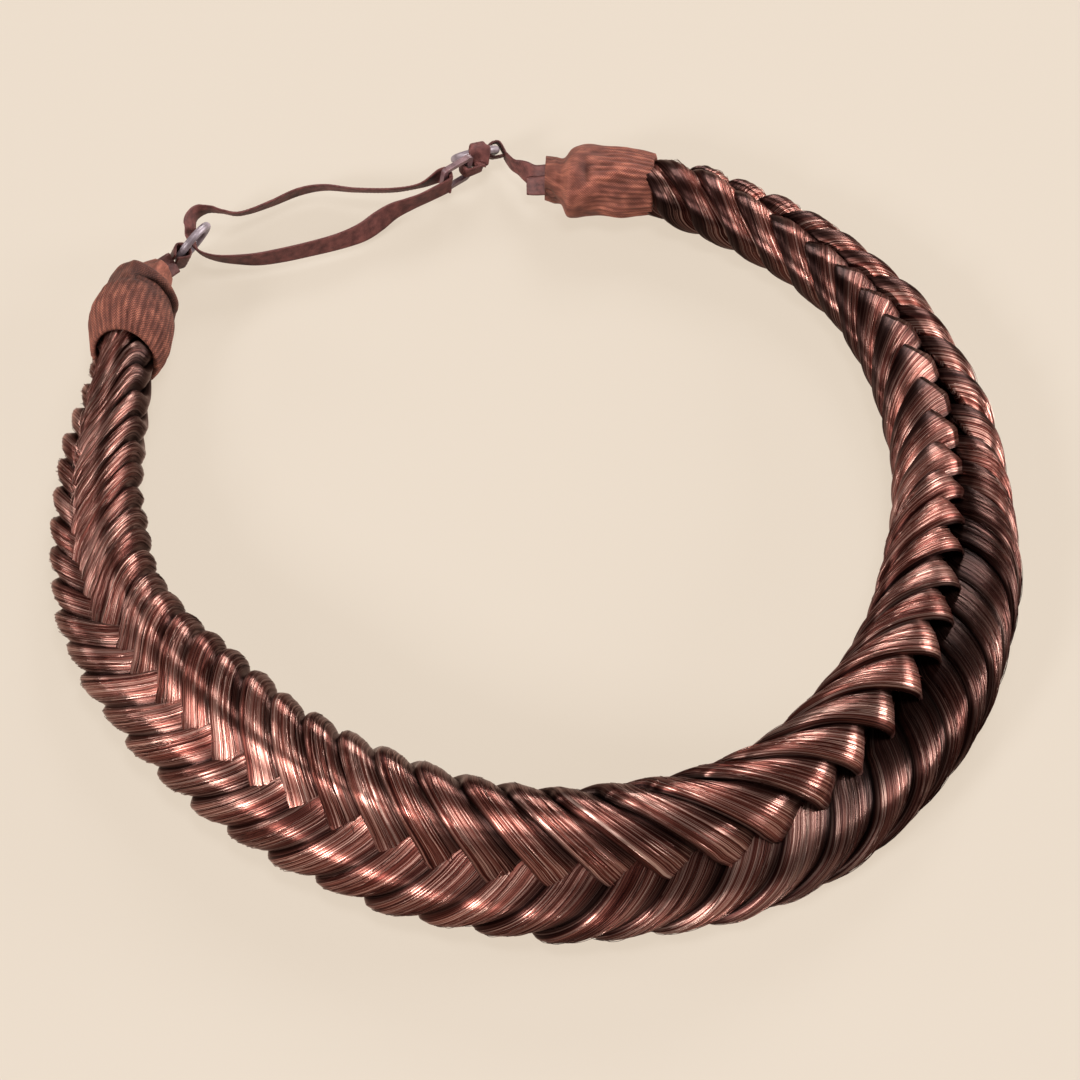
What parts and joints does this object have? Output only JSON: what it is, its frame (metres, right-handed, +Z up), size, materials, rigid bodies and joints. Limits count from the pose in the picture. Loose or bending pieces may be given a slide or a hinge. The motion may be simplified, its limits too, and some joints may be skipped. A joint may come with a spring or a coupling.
{
  "type": "braided headband",
  "caption": "Closed loop of a fishtail braid in glossy brown synthetic hair, with knitted end sleeves joined by metal rings and an adjustable flat elastic strap.",
  "frame": {"origin": "centre of the object's box in plan, on the surface that it lies on", "axes": "+Z up from the surface, +X to the right and -Y towards the widest part of the braid, which is the front"},
  "size_m": [0.2029, 0.2148, 0.0277],
  "materials": {
    "hair": "glossy dark copper brown synthetic hair, combed flat in each lock, with bright bands of sheen",
    "knit": "fine ribbed knit, copper brown, lightly creased",
    "elastic": "woven flat elastic, mauve brown, satin",
    "ribbon": "woven ribbon, dark mauve brown",
    "ring_metal": "polished pale metal, slightly rosy",
    "slider_coat": "dark brown coated metal, satin"
  },
  "bodies": {
    "root": {"braid": "hair", "sleeve_left": "knit", "sleeve_right": "knit", "tab_left": "ribbon", "tab_right": "ribbon", "ring_left": "ring_metal", "ring_right": "ring_metal", "slider": "slider_coat", "end_loop": "elastic", "strap": "elastic"}
  },
  "joints": []
}
